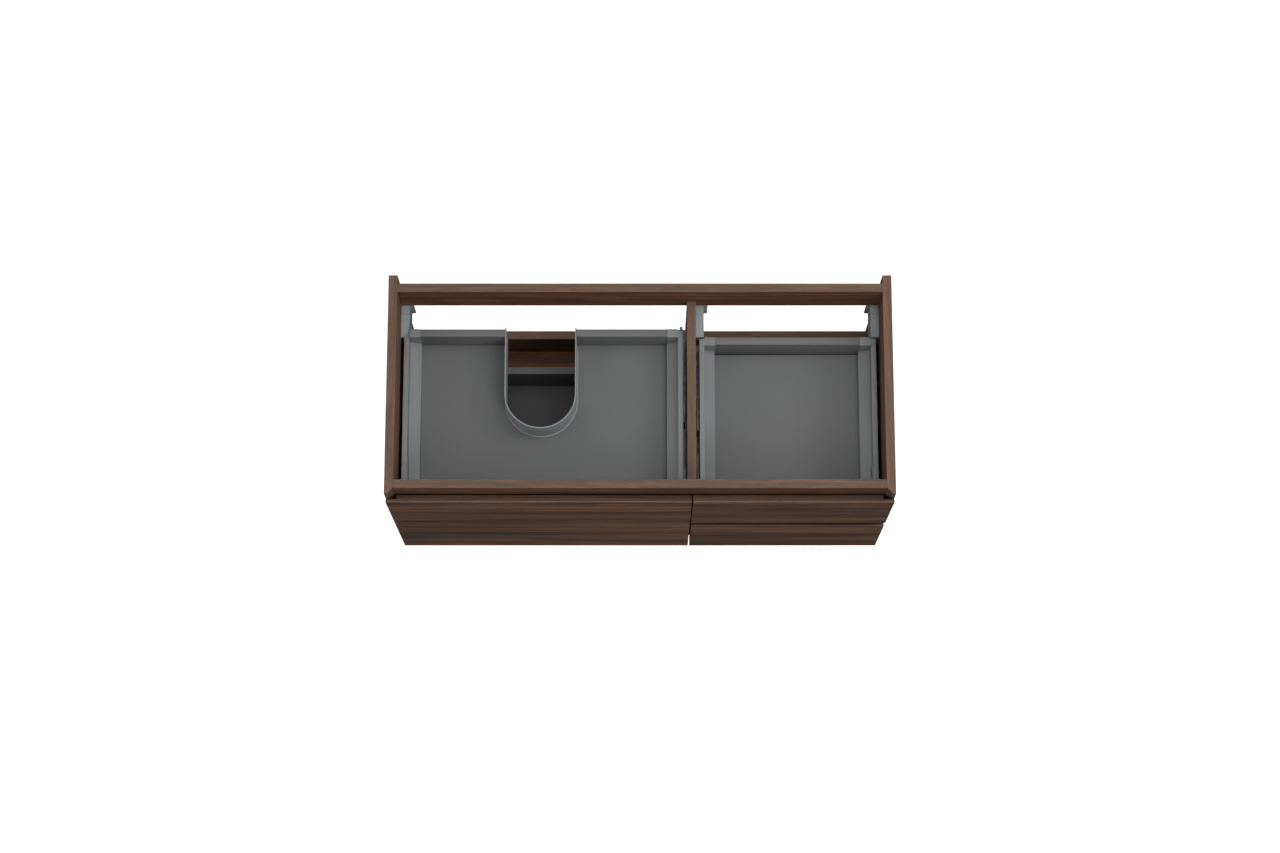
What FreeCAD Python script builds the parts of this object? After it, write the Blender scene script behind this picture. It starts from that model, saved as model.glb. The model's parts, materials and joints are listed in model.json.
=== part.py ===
import FreeCAD, Part
import math
import os
import re
import Sketcher

# Wall-hung bathroom vanity cabinet with an open top, in millimetres.
# Origin: on the wall plane, at the middle of the width, level with the top edges.
# +X to the right as seen from the front, +Y into the wall, +Z up.
# Left bay: a tall front on the left drawer, with the inner drawer and its siphon
# cut-out above it. Right bay: the upper drawer and the lower drawer.

SIZES = (
    ("overall_width", 1000, "over the side panels"),
    ("side_depth", 445, "side panel, wall to front edge"),
    ("side_height", 488, "side panel, top to bottom edge"),
    ("board", 18, "carcass board"),
    ("edge_flat", 4, "square part of a side panel's front edge, before its bevel"),
    ("partition_centre", 103, "middle of the partition, right of the cabinet's middle"),
    ("front_rail_height", 70, "front top rail"),
    ("rail_air", 3, "front top rail behind the backs of the fronts"),
    ("back_rail_height", 98, "back top rail"),
    ("back_foot_height", 104, "back bottom rail"),
    ("back_rail_inset", 17, "back rails off the wall"),
    ("bottom_rise", 9, "bottom panel above the side panels' lower edges"),
    ("front_board", 18, "drawer front"),
    ("front_lip", 8, "part of a front's thickness that covers the side panel's edge"),
    ("front_air", 1, "lip to the side panel's edge"),
    ("front_drop", 36, "top of the fronts below the carcass top"),
    ("front_flat", 3, "flat at the top of a front, before its grip bevel"),
    ("front_joint", 3, "gap between the left and right fronts"),
    ("grip_gap", 33, "gap between the two right fronts"),
    ("upper_front_height", 207, "upper right front"),
    ("rebate_air", 3, "rebated back of a front to the side panel's inner face"),
    ("drawer_air", 22, "sides of the upper drawers below the front top rail"),
    ("inner_air", 3, "inner drawer's front behind the tall front"),
    ("inner_front", 14, "front panel of the inner drawer"),
    ("low_side", 70, "height of an upper drawer's sides above its bottom"),
    ("high_side", 104, "height of a lower drawer's sides above its bottom"),
    ("side_air", 7.5, "drawer side to bay wall"),
    ("side_crest", 10, "narrow upper part of a drawer side"),
    ("side_foot", 32, "wide lower part of a drawer side"),
    ("side_gauge", 1.5, "sheet of a drawer side"),
    ("ledge_high", 35, "ledge of a drawer side above the bottom, at the crest"),
    ("ledge_low", 22, "ledge above the bottom, at the drawer's inside"),
    ("drawer_board", 16, "drawer bottom"),
    ("drawer_back", 15, "drawer back"),
    ("drawer_lift", 12, "drawer's underside above the runner's foot"),
    ("back_reveal", 2, "drawer back behind the face of its corner brackets"),
    ("back_lower", 1, "drawer back below the top of its sides"),
    ("bracket_proud", 0.5, "corner bracket above the drawer side"),
    ("cheek_level", 32, "lower end of a bracket's cheek above the drawer bottom"),
    ("cheek_short", 3, "cheek ends in front of the bracket's rear face"),
    ("cap_length", 70, "cover cap"),
    ("cap_thick", 2, "cover cap"),
    ("fixing_length", 30, "front fixing"),
    ("fixing_rise", 28, "front fixing above the drawer's underside"),
    ("loose", 0.5, "clearance of small parts fitted by hand"),
    ("siphon_centre", 200, "siphon cut-out, left of the cabinet's middle"),
    ("siphon_radius", 72, "outside of the collar"),
    ("siphon_reach", 219, "centre of the collar's round end, off the wall"),
    ("collar_wall", 2.5, "collar"),
    ("collar_tail", 3.5, "collar's ends behind the drawer back"),
    ("collar_foot", 2.5, "width of the flange round the collar's base"),
    ("collar_foot_thick", 1.2, "that flange"),
    ("collar_fit", 0.3, "collar in its cut-out"),
    ("runner_end", 43, "cabinet rail's rear end in front of the back rails"),
    ("runner_front", 8, "cabinet rail behind the drawer front"),
    ("gauge", 1.5, "sheet of the runner members"),
    ("flange_height", 26, "cabinet rail on the panel"),
    ("upright_height", 14, "cabinet rail's running edge"),
    ("ear_offset", 3, "cabinet rail's ears off the bay wall"),
    ("ear_thick", 3, "ear"),
    ("ear_height", 60, "ear"),
    ("ear_length", 66, "ear"),
    ("ear_pitch", 141, "front end of one ear to the next"),
    ("stop_offset", 6.9, "rear stop off the bay wall"),
    ("stop_width", 5.8, "rear stop"),
    ("stop_height", 25, "rear stop"),
    ("stop_length", 6, "rear stop"),
    ("middle_short", 50, "middle rail shorter than the cabinet rail"),
    ("middle_front", 3, "middle rail behind the cabinet rail's front end"),
    ("middle_air", 1.5, "middle rail to the drawer rail on each side"),
    ("middle_skirt", 12, "middle rail's legs below its web"),
    ("roller_radius", 1.8, "bearing roller"),
    ("roller_air", 0.2, "bearing roller to the rail it runs on"),
    ("roller_inset", 2, "bearing roller inside the middle rail's width"),
    ("roller_edge", 20, "end roller from the middle rail's end"),
    ("slide_offset", 14, "drawer rail off the bay wall"),
    ("slide_air", 5, "drawer rail to the sheet of the drawer side's foot"),
    ("slide_shelf", 19, "drawer rail's shelf under the drawer bottom"),
    ("slide_front", 2, "drawer rail behind the drawer front"),
    ("slide_end", 13, "drawer rail short of the drawer side's rear end"),
    ("hanger_clear", 0.8, "wall hanger to the inner drawer's corner bracket"),
    ("hanger_reach", 101, "wall hanger, front end off the wall"),
    ("hanger_foot", 2, "wall hanger above the upper runner's flange"),
    ("hanger_seam", 52, "joint of hanger and hook block, off the wall"),
    ("hanger_air", 1, "wall hanger below the back top rail"),
    ("hook_block_back", 31, "rear face of the hook block, off the wall"),
    ("wing_width", 8, "hook block's wing"),
    ("wing_height", 58, "hook block's wing"),
    ("wing_thick", 4, "hook block's wing"),
    ("hook_plate", 4, "steel of the hook"),
    ("hook_drop", 41, "hook's lip below the hanger's top"),
    ("hook_level", 5, "hook's upper edge below the hanger's top"),
    ("hook_depth", 14, "height of the hook's arm"),
    ("hook_air", 2, "hook's lip off the wall"),
    ("screw_head", 3.5, "radius of a hanger's adjusting screw"),
    ("screw_proud", 1.2, "adjusting screw head off the hanger's front"),
    ("screw_long", 40, "adjusting screw in the hanger"),
    ("runner_head", 4, "radius of a runner screw's head"),
    ("runner_head_thick", 1.2, "runner screw's head"),
    ("runner_shank", 2, "radius of a runner screw"),
    ("screw_parting", 1, "between the tips of runner screws from both faces of a board"),
    ("screw_first", 100, "first runner screw from the cabinet rail's front"),
    ("screw_last", 70, "second runner screw from the cabinet rail's rear end"),
    ("screw_level", 16, "runner screws above the runner's foot"),
    ("dowel_radius", 4, "dowel"),
    ("dowel_length", 30, "dowel"),
    ("dowel_bite", 12, "dowel in the face of a board"),
    ("dowel_margin", 0.2, "outer dowels from a rail's edges, as a share of its height"),
    ("bottom_margin", 0.1, "outer dowels from the bottom's ends, as a share of the depth"),
    ("cam_radius", 7.5, "cam"),
    ("cam_depth", 12.5, "cam"),
    ("cam_distance", 24, "cam's centre from the side panel"),
    ("cam_margin", 0.29, "cams from the bottom's ends, as a share of the depth"),
    ("bolt_radius", 3, "connecting bolt"),
    ("bolt_bite", 10, "connecting bolt in the side panel"),
)

doc = FreeCAD.newDocument("vanity_cabinet")
sheet = doc.addObject("Spreadsheet::Sheet", "Sizes")
for row, (name, value, note) in enumerate(SIZES, 1):
    sheet.set(f"A{row}", note)
    sheet.set(f"B{row}", str(value))
    sheet.setAlias(f"B{row}", name)
doc.recompute()

NAMES = {name for name, _, _ in SIZES}
parts = []

# Places that several parts share, as formulas over the sizes.
INSIDE = "(overall_width / 2 - board)"
PART_LEFT = "(partition_centre - board / 2)"
PART_RIGHT = "(partition_centre + board / 2)"
BACK_REAR = "(-back_rail_inset)"
BACK_FACE = "(-back_rail_inset - board)"
FLOOR = "(bottom_rise + board - side_height)"
FRONT_FACE = "(-side_depth - front_air - front_lip)"
FRONT_BACK = f"({FRONT_FACE} + front_board)"
RAIL_FACE = f"({FRONT_BACK} + rail_air)"
FRONT_TOP = "(-front_drop)"
FRONT_FOOT = "(-side_height)"
UPPER_FOOT = "(-front_drop - upper_front_height)"
SIDE_REAR = "(-hanger_reach - back_reveal)"
INNER_SETBACK = "(inner_front + inner_air)"
FOOT = "(side_air + side_foot)"
CREST = "(side_air + side_crest)"
LOWER_RUNNER = FLOOR
UPPER_RUNNER = "(-front_rail_height - drawer_air - low_side - drawer_board - drawer_lift)"
HANGER_TOP = "(-back_rail_height - hanger_air)"
HANGER_HEIGHT = f"({HANGER_TOP} - {UPPER_RUNNER} - flange_height - hanger_foot)"
HANGER_WIDTH = f"({CREST} - hanger_clear)"


def formula(text):
    """Turn size names into references to the sheet."""
    def reference(word):
        return "Sizes." + word.group() if word.group() in NAMES else word.group()
    return re.sub(r"[a-z_]+", reference, text)


def bind(thing, path, text):
    thing.setExpression(path, formula(text))


def place(thing, x, y, z):
    for axis, text in zip("xyz", (x, y, z)):
        bind(thing, f"Placement.Base.{axis}", text)


def box(label, x, y, z):
    """A box between a low and a high formula along each axis."""
    piece = doc.addObject("Part::Box", label)
    piece.Label = label
    for side, (low, high) in zip(("Length", "Width", "Height"), (x, y, z)):
        bind(piece, side, f"({high}) - ({low})")
    place(piece, x[0], y[0], z[0])
    return piece


TURNS = {"x": (0, 1, 0, 90), "y": (1, 0, 0, -90), "z": (0, 0, 1, 0)}


def rod(label, axis, start, length, radius):
    """A cylinder that runs from start in the positive direction of an axis."""
    piece = doc.addObject("Part::Cylinder", label)
    piece.Label = label
    *turn, angle = TURNS[axis]
    piece.Placement = FreeCAD.Placement(FreeCAD.Vector(), FreeCAD.Rotation(FreeCAD.Vector(*turn), angle))
    bind(piece, "Height", length)
    bind(piece, "Radius", radius)
    place(piece, *start)
    return piece


def prism(label, plane, outline, length, start):
    """A padded outline: its corners are formulas measured from start in the named plane."""
    body = doc.addObject("PartDesign::Body", label)
    body.Label = label
    sketch = body.newObject("Sketcher::SketchObject", label + "_outline")
    origin_plane = next(item for item in body.Origin.OriginFeatures if item.Role == plane)
    sketch.AttachmentSupport = [(origin_plane, "")]
    sketch.MapMode = "FlatFace"
    count = len(outline)
    ring = [FreeCAD.Vector(math.cos(2 * math.pi * i / count), math.sin(2 * math.pi * i / count))
            for i in range(count)]
    for i in range(count):
        sketch.addGeometry(Part.LineSegment(ring[i], ring[(i + 1) % count]))
    for i in range(count):
        sketch.addConstraint(Sketcher.Constraint("Coincident", i, 2, (i + 1) % count, 1))
    for i, corner in enumerate(outline):
        for kind, now, text in zip(("DistanceX", "DistanceY"), ring[i], corner):
            index = sketch.addConstraint(Sketcher.Constraint(kind, -1, 1, i, 1, now))
            bind(sketch, f"Constraints[{index}]", text)
    pad = body.newObject("PartDesign::Pad", label + "_pad")
    pad.Profile = sketch
    pad.Reversed = plane == "XZ_Plane"
    bind(pad, "Length", length)
    place(body, *start)
    return body


def fuse(label, pieces):
    piece = doc.addObject("Part::MultiFuse", label)
    piece.Label = label
    piece.Shapes = pieces
    return piece


def group(label, pieces):
    piece = doc.addObject("Part::Compound", label)
    piece.Label = label
    piece.Links = pieces
    return piece


def cut(label, blank, tool):
    piece = doc.addObject("Part::Cut", label)
    piece.Label = label
    piece.Base = blank
    piece.Tool = tool
    return piece


def keep(piece):
    """Mark a finished sub-part: its label names its file."""
    parts.append(piece)
    return piece


def span(wall, way, near, far):
    """Low and high x of what lies between two distances from a bay wall."""
    ends = [f"{wall} + {way} * ({near})", f"{wall} + {way} * ({far})"]
    return ends if way == 1 else ends[::-1]


# Fasteners of the carcass -------------------------------------------------------------

SIDE_WALLS = (("left", f"(-{INSIDE})", -1), ("right", INSIDE, 1))
RAIL_MIDDLE = f"({RAIL_FACE} + board / 2)"
BACK_MIDDLE = f"({BACK_FACE} + board / 2)"
BOTTOM_MIDDLE = f"({FLOOR} - board / 2)"


def carcass_dowels():
    """Beech dowels: rails and bottom into the side panels, partition into its neighbours."""
    holds = []
    for top, height in (("0", "front_rail_height"), ("0", "back_rail_height"),
                        (f"({FLOOR} + back_foot_height)", "back_foot_height")):
        middle = RAIL_MIDDLE if height == "front_rail_height" else BACK_MIDDLE
        holds += [(middle, f"{top} - {height} * {share}")
                  for share in ("dowel_margin", "(1 - dowel_margin)")]
    holds += [(f"-side_depth * {share}", BOTTOM_MIDDLE)
              for share in ("(1 - bottom_margin)", "0.5", "bottom_margin")]
    dowels = []
    for side, wall, way in SIDE_WALLS:
        start = span(wall, -way, "-dowel_bite", "dowel_length - dowel_bite")[0]
        for number, (y, z) in enumerate(holds, 1):
            dowels.append(rod(f"{side}_dowel_{number}", "x", (start, y, z), "dowel_length", "dowel_radius"))
    for number, share in enumerate(("(1 - bottom_margin)", "0.5", "2 * bottom_margin"), 1):
        dowels.append(rod(f"partition_foot_dowel_{number}", "z",
                          ("partition_centre", f"-side_depth * {share}", f"{FLOOR} - dowel_bite"),
                          "dowel_length", "dowel_radius"))
    dowels.append(rod("partition_head_dowel", "z",
                      ("partition_centre", RAIL_MIDDLE, "-front_rail_height - dowel_length + dowel_bite"),
                      "dowel_length", "dowel_radius"))
    for number, level in enumerate((f"{FLOOR} + back_foot_height * dowel_margin",
                                    f"{FLOOR} + back_foot_height * (1 - dowel_margin)",
                                    "-(front_rail_height + back_rail_height) / 2"), 1):
        dowels.append(rod(f"partition_back_dowel_{number}", "y",
                          ("partition_centre", f"{BACK_FACE} + dowel_bite - dowel_length", level),
                          "dowel_length", "dowel_radius"))
    return keep(group("carcass_dowels", dowels))


def carcass_cams():
    """Cam discs near both ends of each rail and of the bottom, and the bolts they pull."""
    rails = (("front", RAIL_MIDDLE, f"{RAIL_FACE} + board - cam_depth", "-front_rail_height / 2"),
             ("back", BACK_MIDDLE, f"{BACK_REAR} - cam_depth", "-back_rail_height / 2"),
             ("foot", BACK_MIDDLE, f"{BACK_REAR} - cam_depth", f"{FLOOR} + back_foot_height / 2"))
    cams, bolts = [], []
    for side, wall, way in SIDE_WALLS:
        centre = f"{wall} - {way} * cam_distance"
        reach = "cam_distance - cam_radius - loose"
        start = span(wall, -way, "-bolt_bite", reach)[0]
        length = f"bolt_bite + {reach}"
        for name, middle, seat, level in rails:
            cams.append(rod(f"{side}_{name}_cam", "y", (centre, seat, level), "cam_depth", "cam_radius"))
            bolts.append(rod(f"{side}_{name}_bolt", "x", (start, middle, level), length, "bolt_radius"))
        for name, share in (("fore", "(1 - cam_margin)"), ("aft", "cam_margin")):
            y = f"-side_depth * {share}"
            cams.append(rod(f"{side}_{name}_cam", "z", (centre, y, f"{FLOOR} - board"),
                            "cam_depth", "cam_radius"))
            bolts.append(rod(f"{side}_{name}_bolt", "x", (start, y, BOTTOM_MIDDLE), length, "bolt_radius"))
    return keep(group("carcass_cams", cams)), keep(group("carcass_bolts", bolts))


# Runners ------------------------------------------------------------------------------

LEFT_BAY = ((f"(-{INSIDE})", 1), (PART_LEFT, -1))
RIGHT_BAY = ((PART_RIGHT, 1), (INSIDE, -1))
MIDDLE_WEB = "(upright_height + 2 * roller_radius + 2 * roller_air)"
MIDDLE_TOP = f"({MIDDLE_WEB} + gauge)"
SLIDE_WEB = f"({MIDDLE_TOP} + 2 * roller_radius + 2 * roller_air)"
SLIDE_TOP = f"({SLIDE_WEB} + gauge)"
SLIDE_FAR = f"({FOOT} - side_gauge - slide_air)"
MIDDLE_NEAR = "(slide_offset + gauge + middle_air)"
MIDDLE_FAR = f"({SLIDE_FAR} - gauge - middle_air)"
UPRIGHT = f"(({MIDDLE_NEAR} + {MIDDLE_FAR} - gauge) / 2)"
RUNNER_LENGTH = f"({BACK_FACE} - runner_end - {FRONT_BACK} - runner_front)"
MIDDLE_LENGTH = f"({RUNNER_LENGTH} - middle_short)"
RUNNER_BITE = "((board - screw_parting) / 2)"


def ends(way, outline):
    """Mirror an outline that is measured from a bay wall."""
    return [(f"{way} * ({across})", up) for across, up in outline]


def runner_screws(name, bay, level, front):
    """Pan-head screws that hold a pair of cabinet rails."""
    screws = []
    for number, (wall, way) in enumerate(bay, 1):
        for count in range(2):
            y = f"{front} + screw_first + ({RUNNER_LENGTH} - screw_first - screw_last) * {count}"
            z = f"{level} + screw_level"
            tag = f"{name}_screw_{number}_{count + 1}"
            shank = span(wall, way, f"-{RUNNER_BITE}", "gauge + runner_head_thick")[0]
            head = span(wall, way, "gauge", "gauge + runner_head_thick")[0]
            screws.append(fuse(tag, [
                rod(tag + "_shank", "x", (shank, y, z), f"{RUNNER_BITE} + gauge + runner_head_thick",
                    "runner_shank"),
                rod(tag + "_head", "x", (head, y, z), "runner_head_thick", "runner_head")]))
    return screws


def cabinet_rails(name, bay, level, front, screws):
    """Fixed members: flange on the panel, running edge, ears and a rear stop."""
    section = (("0", "0"), (f"{UPRIGHT} + gauge", "0"), (f"{UPRIGHT} + gauge", "upright_height"),
               (UPRIGHT, "upright_height"), (UPRIGHT, "gauge"), ("gauge", "gauge"),
               ("gauge", "flange_height"), ("0", "flange_height"))
    rails = []
    for number, (wall, way) in enumerate(bay, 1):
        tag = f"{name}_cabinet_rail_{number}"
        pieces = [prism(tag + "_strip", "XZ_Plane", ends(way, section), RUNNER_LENGTH,
                        (wall, front, level))]
        for count in range(2):
            start = f"{front} + ear_pitch * {count}"
            pieces.append(box(f"{tag}_ear_{count + 1}",
                              span(wall, way, "ear_offset", "ear_offset + ear_thick"),
                              (start, f"{start} + ear_length"), (level, f"{level} + ear_height")))
        rear = f"{front} + {RUNNER_LENGTH}"
        pieces.append(box(tag + "_stop", span(wall, way, "stop_offset", "stop_offset + stop_width"),
                          (f"{rear} - stop_length", rear), (level, f"{level} + stop_height")))
        rails.append(fuse(tag, pieces))
    blank = group(name + "_cabinet_rail_blanks", rails)
    return keep(cut(name + "_cabinet_rails", blank, group(name + "_rail_holes", screws)))


def middle_rails(name, bay, level, front):
    """Middle members: a channel over the running edge, with rollers below and above its web."""
    near, far = MIDDLE_NEAR, MIDDLE_FAR
    foot = f"{MIDDLE_TOP} - gauge - middle_skirt"
    section = ((near, foot), (near + " + gauge", foot), (near + " + gauge", MIDDLE_WEB),
               (far + " - gauge", MIDDLE_WEB), (far + " - gauge", foot), (far, foot),
               (far, MIDDLE_TOP), (near, MIDDLE_TOP))
    start = f"{front} + middle_front"
    pieces = []
    for number, (wall, way) in enumerate(bay, 1):
        tag = f"{name}_middle_rail_{number}"
        pieces.append(prism(tag, "XZ_Plane", ends(way, section), MIDDLE_LENGTH, (wall, start, level)))
        x = span(wall, way, f"{near} + gauge + roller_inset", f"{far} - gauge - roller_inset")[0]
        for count in range(3):
            y = f"{start} + roller_edge + ({MIDDLE_LENGTH} / 2 - roller_edge) * {count}"
            for place_name, bottom in (("low", "upright_height"), ("high", MIDDLE_TOP)):
                z = f"{level} + {bottom} + roller_air + roller_radius"
                pieces.append(rod(f"{tag}_{place_name}_roller_{count + 1}", "x", (x, y, z),
                                  f"{far} - {near} - 2 * gauge - 2 * roller_inset", "roller_radius"))
    return keep(group(name + "_middle_rails", pieces))


def drawer_rails(name, bay, level, start, rear):
    """Moving members: a channel over the middle rail and a shelf that carries the bottom."""
    near, far = "slide_offset", SLIDE_FAR
    shelf = "drawer_lift - gauge"
    section = ((near, shelf), (near + " + gauge", shelf), (near + " + gauge", SLIDE_WEB),
               (far + " - gauge", SLIDE_WEB), (far + " - gauge", shelf),
               (far + " + slide_shelf", shelf), (far + " + slide_shelf", "drawer_lift"),
               (far, "drawer_lift"), (far, SLIDE_TOP), (near, SLIDE_TOP))
    length = f"({rear}) - slide_end - ({start} + slide_front)"
    rails = [prism(f"{name}_drawer_rail_{number}", "XZ_Plane", ends(way, section), length,
                   (wall, f"{start} + slide_front", level))
             for number, (wall, way) in enumerate(bay, 1)]
    return keep(group(name + "_drawer_rails", rails))


# Drawers ------------------------------------------------------------------------------

def drawer_sides(name, bay, level, height, start, rear):
    """Sheet steel sides: a slim crest over a wide foot that hides the runner."""
    top = f"(drawer_board + {height})"
    inner = "side_gauge"
    section = (("side_air", "0"), ("side_air", top), (CREST, top),
               (CREST, "drawer_board + ledge_high"), (FOOT, "drawer_board + ledge_low"), (FOOT, "0"),
               (f"{FOOT} - {inner}", "0"), (f"{FOOT} - {inner}", f"drawer_board + ledge_low - {inner}"),
               (f"{CREST} - {inner}", f"drawer_board + ledge_high - {inner}"),
               (f"{CREST} - {inner}", f"{top} - {inner}"),
               (f"side_air + {inner}", f"{top} - {inner}"), (f"side_air + {inner}", "0"))
    for hand, (wall, way) in zip(("left", "right"), bay):
        keep(prism(f"{name}_side_{hand}", "XZ_Plane", ends(way, section), f"({rear}) - ({start})",
                   (wall, start, f"{level} + drawer_lift")))


def corner_brackets(name, bay, level, height, rear, cheeks):
    """Brackets that join the sides to the back, with a cheek where nothing is in the way."""
    base = f"{level} + drawer_lift + drawer_board"
    top = f"{base} + {height} + bracket_proud"
    end = f"{rear} + back_reveal + drawer_back"
    brackets = []
    for number, ((wall, way), has_cheek) in enumerate(zip(bay, cheeks), 1):
        tag = f"{name}_bracket_{number}"
        block = box(tag + "_block", span(wall, way, CREST, FOOT), (rear, end), (base, top))
        if has_cheek:
            cheek = box(tag + "_cheek", span(wall, way, "side_air", CREST),
                        (rear, f"{end} - cheek_short"), (f"{base} + cheek_level", top))
            block = fuse(tag, [block, cheek])
        brackets.append(block)
    return keep(group(name + "_corner_brackets", brackets))


def front_fixings(name, bay, level, height, start):
    """Blocks inside the sides' crests that hold the front."""
    near = "side_air + side_gauge + loose"
    far = f"{CREST} - side_gauge - loose"
    base = f"{level} + drawer_lift"
    blocks = [box(f"{name}_fixing_{number}", span(wall, way, near, far),
                  (start, f"{start} + fixing_length"),
                  (f"{base} + fixing_rise", f"{base} + drawer_board + {height} - side_gauge - loose"))
              for number, (wall, way) in enumerate(bay, 1)]
    return keep(group(name + "_front_fixings", blocks))


def cover_caps(name, bay, level, height, start):
    """Plastic caps over the front adjusters, on the inner face of each crest."""
    base = f"{level} + drawer_lift + drawer_board"
    caps = [box(f"{name}_cap_{number}", span(wall, way, CREST, f"{CREST} + cap_thick"),
                (start, f"{start} + cap_length"),
                (f"{base} + ledge_high + loose", f"{base} + {height} - side_gauge - loose"))
            for number, (wall, way) in enumerate(bay, 1)]
    return keep(group(name + "_cover_caps", caps))


def bay_inside(bay):
    """X of a drawer's inside, between the feet of its two sides."""
    (left, _), (right, _) = bay
    return f"{left} + {FOOT}", f"{right} - {FOOT}"


def drawer(name, bay, level, height, start, rear, cheeks):
    """The metalwork that all four drawers share."""
    drawer_sides(name, bay, level, height, start, rear)
    corner_brackets(name, bay, level, height, rear, cheeks)
    front_fixings(name, bay, level, height, start)
    cover_caps(name, bay, level, height, start)
    drawer_rails(name, bay, level, start, rear)


def drawer_bottom(label, bay, level, start, rear):
    base = f"{level} + drawer_lift"
    return box(label, bay_inside(bay), (start, f"{rear} + back_reveal + drawer_back"),
               (base, f"{base} + drawer_board"))


def drawer_back(label, x, level, height, rear):
    base = f"{level} + drawer_lift + drawer_board"
    return keep(box(label, x, (f"{rear} + back_reveal", f"{rear} + back_reveal + drawer_back"),
                    (base, f"{base} + {height} - back_lower")))


def front_panel(label, x, top, foot, end):
    """A drawer front: grip bevel behind its top edge, rebate over a side panel's edge."""
    tall = f"({top}) - ({foot})"
    outline = (("0", "0"), ("front_board", "0"), ("front_board", f"{tall} - front_board + front_flat"),
               ("front_flat", tall), ("0", tall))
    blank = prism(label + "_blank", "YZ_Plane", outline, f"({x[1]}) - ({x[0]})", (x[0], FRONT_FACE, foot))
    edge = f"({INSIDE} - rebate_air)"
    reach = (edge, "overall_width") if end == "right" else ("-overall_width", f"-{edge}")
    rebate = box(label + "_rebate", reach, (f"{FRONT_FACE} + front_lip", "0"), ("-2 * side_height", "0"))
    return keep(cut(label, blank, rebate))


def siphon_shape(label, radius, low, high, rear):
    """The cut-out's outline as a solid: round towards the front, straight to the back."""
    centre, reach = "-siphon_centre", "-siphon_reach"
    round_end = rod(label + "_round", "z", (centre, reach, low), f"({high}) - ({low})", radius)
    straight = box(label + "_straight", (f"{centre} - {radius}", f"{centre} + {radius}"),
                   (reach, rear), (low, high))
    return fuse(label, [round_end, straight])


def siphon_collar(base, top, rear, end):
    """A thin wall round the siphon cut-out, with a flange on the drawer bottom."""
    shell = cut("collar_shell", siphon_shape("collar_outside", "siphon_radius", base, top, end),
                siphon_shape("collar_inside", "(siphon_radius - collar_wall)",
                             f"{base} - board", f"{top} + board", "0"))
    seat = f"{base} + drawer_board"
    flange = cut("collar_flange",
                 siphon_shape("flange_outside", "(siphon_radius + collar_foot)", seat,
                              f"{seat} + collar_foot_thick", f"{rear} - loose"),
                 siphon_shape("flange_inside", "(siphon_radius - collar_wall / 2)",
                              f"{seat} - board", f"{seat} + board", "0"))
    return keep(fuse("siphon_collar", [shell, flange]))


def inner_drawer():
    """The drawer behind the upper half of the tall front, open to the back for the siphon."""
    name, level, height = "inner_drawer", UPPER_RUNNER, "low_side"
    start, rear = f"({FRONT_BACK} + {INNER_SETBACK})", SIDE_REAR
    base = f"({level} + drawer_lift)"
    top = f"{base} + drawer_board + {height}"
    end = f"{rear} + back_reveal + drawer_back + collar_tail"
    drawer(name, LEFT_BAY, level, height, start, rear, (False, True))
    keep(box(name + "_front", (f"-{INSIDE} + side_air", f"{PART_LEFT} - side_air"),
             (f"{start} - inner_front", start), (base, top)))
    hole = siphon_shape("siphon_hole", "(siphon_radius + collar_fit)", f"{base} - board",
                        f"{top} + board", "0")
    keep(cut(name + "_bottom", drawer_bottom(name + "_bottom_blank", LEFT_BAY, level, start, rear), hole))
    left, right = bay_inside(LEFT_BAY)
    half = "siphon_radius + collar_fit"
    drawer_back(name + "_back_left", (left, f"-siphon_centre - ({half})"), level, height, rear)
    drawer_back(name + "_back_right", (f"-siphon_centre + {half}", right), level, height, rear)
    siphon_collar(base, top, rear, end)


def fronted_drawer(name, bay, level, height):
    """A drawer on its own front: bottom and back in one piece each."""
    rear = f"({SIDE_REAR} - {INNER_SETBACK})"
    drawer(name, bay, level, height, FRONT_BACK, rear, (True, True))
    keep(drawer_bottom(name + "_bottom", bay, level, FRONT_BACK, rear))
    drawer_back(name + "_back", bay_inside(bay), level, height, rear)


# Wall hangers -------------------------------------------------------------------------

HANGERS = (("left", f"(-{INSIDE})", 1), ("middle", PART_RIGHT, 1), ("right", INSIDE, -1))


def hanger_screws():
    """Two adjusting screws in the front end of each hanger."""
    screws = []
    for name, wall, way in HANGERS:
        for number in (1, 2):
            x = f"{wall} + {way} * {HANGER_WIDTH} * (2 * {number} - 1) / 4"
            z = f"{HANGER_TOP} - {HANGER_HEIGHT} * {number} / 5"
            tag = f"{name}_hanger_screw_{number}"
            screws.append(fuse(tag, [
                rod(tag + "_head", "y", (x, "-hanger_reach - screw_proud", z), "screw_proud", "screw_head"),
                rod(tag + "_shank", "y", (x, "-hanger_reach", z), "screw_long", "screw_head / 2")]))
    return keep(group("hanger_screws", screws))


def hanger_housings(screws):
    blocks = [box(f"{name}_hanger_block", span(wall, way, "0", HANGER_WIDTH),
                  ("-hanger_reach", "-hanger_seam"), (f"{HANGER_TOP} - {HANGER_HEIGHT}", HANGER_TOP))
              for name, wall, way in HANGERS]
    return keep(cut("hanger_housings", group("hanger_blocks", blocks), screws))


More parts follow.
